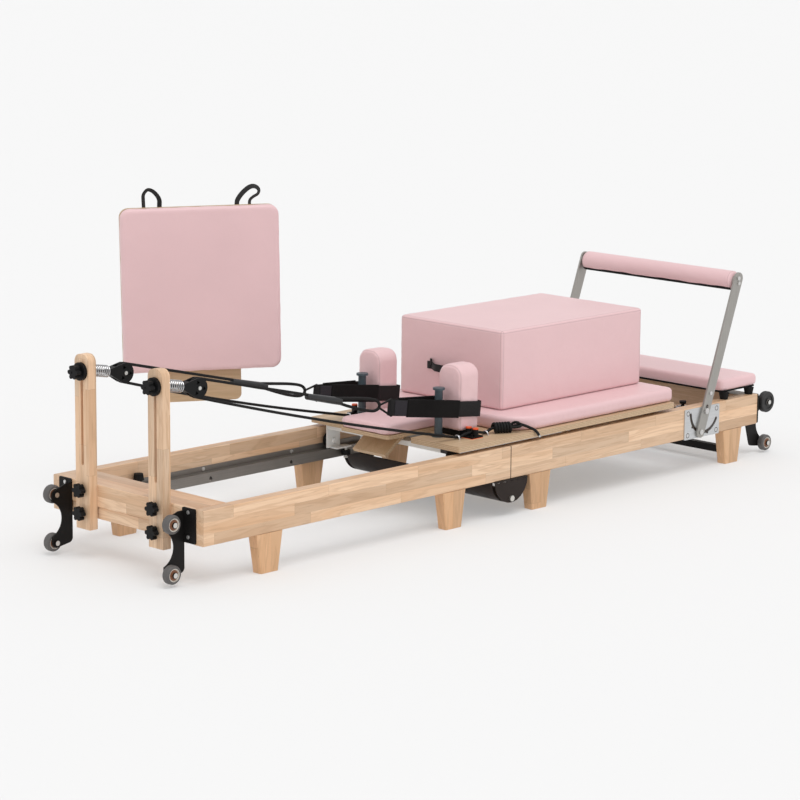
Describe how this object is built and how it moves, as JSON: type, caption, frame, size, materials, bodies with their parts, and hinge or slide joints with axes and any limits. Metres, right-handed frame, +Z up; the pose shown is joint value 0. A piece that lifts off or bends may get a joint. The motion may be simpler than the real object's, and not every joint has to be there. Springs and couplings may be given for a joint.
{
  "type": "pilates reformer",
  "caption": "Folding wooden pilates reformer with sliding padded carriage, pulley posts, ropes, footbar, sitting box, standing platform and jump board.",
  "frame": {"origin": "on the floor under the middle of the whole object's outer box", "axes": "+X from the pulley end to the footbar end, +Y across the frame away from the side with the spare rope hank, +Z up"},
  "size_m": [2.498, 0.9114, 0.902],
  "materials": {
    "rubberwood": "clear satin lacquer",
    "plywood": "clear satin lacquer",
    "track_steel": "brushed",
    "zinc_steel": "zinc plated",
    "chrome": "polished",
    "black_steel": "satin black powder coat",
    "white_steel": "white powder coat",
    "black_plastic": "moulded black",
    "grey_plastic": "moulded blue-grey",
    "black_rubber": "matte",
    "grey_tyre": "matte grey",
    "aluminium": "brushed",
    "pink_leather": "smooth pink leatherette",
    "black_rope": "braided black",
    "black_webbing": "woven black"
  },
  "bodies": {
    "head_frame": {"head_rails": "rubberwood", "head_end_rails": "rubberwood", "head_tracks": "track_steel", "head_legs": "rubberwood", "posts": "rubberwood", "post_knobs": "black_plastic", "head_brackets": "black_steel", "head_hinge": "black_steel", "bumpers": "black_rubber", "head_screws": "zinc_steel", "pulley_springs": "chrome", "pulley_blocks": "black_plastic"},
    "sheaves": {"pulley_sheaves": "black_plastic"},
    "adjuster_knob_near": {"adjuster_near": "black_plastic"},
    "adjuster_knob_far": {"adjuster_far": "black_plastic"},
    "head_casters_top": {"head_wheels_top": "grey_tyre"},
    "head_casters_low": {"head_wheels_low": "grey_tyre"},
    "foot_frame": {"foot_rails": "rubberwood", "foot_end_rail": "rubberwood", "foot_tracks": "track_steel", "foot_legs": "rubberwood", "foot_brackets": "black_steel", "foot_hinge": "black_steel", "footbar_plates": "zinc_steel", "cross_bar": "black_steel", "spring_bar": "black_steel", "foot_screws": "zinc_steel"},
    "foot_casters_top": {"foot_wheels_top": "black_rubber"},
    "foot_casters_low": {"foot_wheels_low": "grey_tyre"},
    "footbar": {"footbar_arms": "aluminium", "footbar_pad": "pink_leather", "footbar_bolts": "zinc_steel"},
    "platform": {"platform_base": "black_rubber", "platform_pad": "pink_leather"},
    "carriage": {"deck": "plywood", "underframe": "white_steel", "carriage_pad": "pink_leather", "shoulder_rests": "pink_leather", "strap_pegs": "grey_plastic", "cleats": "black_plastic", "springs": "chrome", "ropes": "black_rope", "rope_hank": "black_rope", "rope_tail": "black_rope", "straps": "black_webbing", "strap_rings": "black_steel"},
    "runners_front": {"wheels_front": "black_plastic"},
    "runners_rear": {"wheels_rear": "black_plastic"},
    "guide_roller_a": {"guide_a": "black_plastic"},
    "guide_roller_b": {"guide_b": "black_plastic"},
    "guide_roller_c": {"guide_c": "black_plastic"},
    "guide_roller_d": {"guide_d": "black_plastic"},
    "headrest": {"headrest_board": "plywood", "headrest_pad": "pink_leather"},
    "prop": {"headrest_prop": "plywood"},
    "sitting_box": {"box": "pink_leather", "box_handles": "black_webbing"},
    "jump_board": {"jump_board": "plywood", "jump_pad": "pink_leather", "jump_loops": "black_webbing"}
  },
  "joints": [
    {"name": "frame_fold", "type": "hinge", "parent": "head_frame", "child": "foot_frame", "pos_m": [-0.009, -0.14072, 0.05], "axis": [0, 1, 0], "range_deg": [0, 180]},
    {"name": "carriage_slide", "type": "slide", "parent": "head_frame", "child": "carriage", "axis": [1, 0, 0], "range_m": [-0.65, 0], "deforming": ["ropes", "springs"]},
    {"name": "sheave_spin", "type": "hinge", "parent": "head_frame", "child": "sheaves", "pos_m": [-1.05388, -0.28672, 0.48208], "axis": [0, 1, 0], "continuous": true},
    {"name": "adjuster_turn_near", "type": "hinge", "parent": "head_frame", "child": "adjuster_knob_near", "pos_m": [-1.217, -0.28672, 0.503], "axis": [1, 0, 0], "continuous": true},
    {"name": "adjuster_turn_far", "type": "hinge", "parent": "head_frame", "child": "adjuster_knob_far", "pos_m": [-1.217, 0.00528, 0.503], "axis": [1, 0, 0], "continuous": true},
    {"name": "head_casters_top_spin", "type": "hinge", "parent": "head_frame", "child": "head_casters_top", "pos_m": [-1.224, -0.14072, 0.164], "axis": [0, 1, 0], "continuous": true},
    {"name": "head_casters_low_spin", "type": "hinge", "parent": "head_frame", "child": "head_casters_low", "pos_m": [-1.224, -0.14072, 0.033], "axis": [0, 1, 0], "continuous": true},
    {"name": "foot_casters_top_spin", "type": "hinge", "parent": "foot_frame", "child": "foot_casters_top", "pos_m": [1.216, -0.14072, 0.16], "axis": [0, 1, 0], "continuous": true},
    {"name": "foot_casters_low_spin", "type": "hinge", "parent": "foot_frame", "child": "foot_casters_low", "pos_m": [1.216, -0.14072, 0.03], "axis": [0, 1, 0], "continuous": true},
    {"name": "footbar_tilt", "type": "hinge", "parent": "foot_frame", "child": "footbar", "pos_m": [0.863, -0.14072, 0.184], "axis": [0, 1, 0], "range_deg": [-35, 65]},
    {"name": "platform_lift", "type": "slide", "parent": "foot_frame", "child": "platform", "axis": [0, 0, 1], "range_m": [0, 0.2]},
    {"name": "runners_front_spin", "type": "hinge", "parent": "carriage", "child": "runners_front", "pos_m": [-0.184, -0.14072, 0.1603], "axis": [0, 1, 0], "range_deg": [-1600, 10]},
    {"name": "runners_rear_spin", "type": "hinge", "parent": "carriage", "child": "runners_rear", "pos_m": [0.681, -0.14072, 0.1603], "axis": [0, 1, 0], "range_deg": [-1600, 10]},
    {"name": "guide_a_spin", "type": "hinge", "parent": "carriage", "child": "guide_roller_a", "pos_m": [-0.144, -0.36642, 0.121], "axis": [0, 0, 1], "range_deg": [-10, 2700]},
    {"name": "guide_b_spin", "type": "hinge", "parent": "carriage", "child": "guide_roller_b", "pos_m": [-0.144, 0.08498, 0.121], "axis": [0, 0, 1], "range_deg": [-2700, 10]},
    {"name": "guide_c_spin", "type": "hinge", "parent": "carriage", "child": "guide_roller_c", "pos_m": [0.641, -0.36642, 0.121], "axis": [0, 0, 1], "range_deg": [-10, 2700]},
    {"name": "guide_d_spin", "type": "hinge", "parent": "carriage", "child": "guide_roller_d", "pos_m": [0.641, 0.08498, 0.121], "axis": [0, 0, 1], "range_deg": [-2700, 10]},
    {"name": "headrest_tilt", "type": "hinge", "parent": "carriage", "child": "headrest", "pos_m": [-0.057, -0.14072, 0.269], "axis": [0, 1, 0], "range_deg": [0, 35]},
    {"name": "prop_turn", "type": "hinge", "parent": "headrest", "child": "prop", "pos_m": [-0.211, -0.14072, 0.218], "axis": [0, 1, 0], "range_deg": [-35, 30]},
    {"name": "box_lift", "type": "slide", "parent": "carriage", "child": "sitting_box", "axis": [0, 0, 1], "range_m": [0, 0.3]},
    {"name": "jump_board_lift", "type": "slide", "parent": "head_frame", "child": "jump_board", "axis": [0, 0, 1], "range_m": [0, 0.2]}
  ],
  "couplings": [
    {"joint": "runners_front_spin", "follows": "carriage_slide", "rad_per_m": 41.667},
    {"joint": "runners_rear_spin", "follows": "carriage_slide", "rad_per_m": 41.667},
    {"joint": "guide_a_spin", "follows": "carriage_slide", "rad_per_m": -71.429},
    {"joint": "guide_b_spin", "follows": "carriage_slide", "rad_per_m": 71.429},
    {"joint": "guide_c_spin", "follows": "carriage_slide", "rad_per_m": -71.429},
    {"joint": "guide_d_spin", "follows": "carriage_slide", "rad_per_m": 71.429}
  ]
}
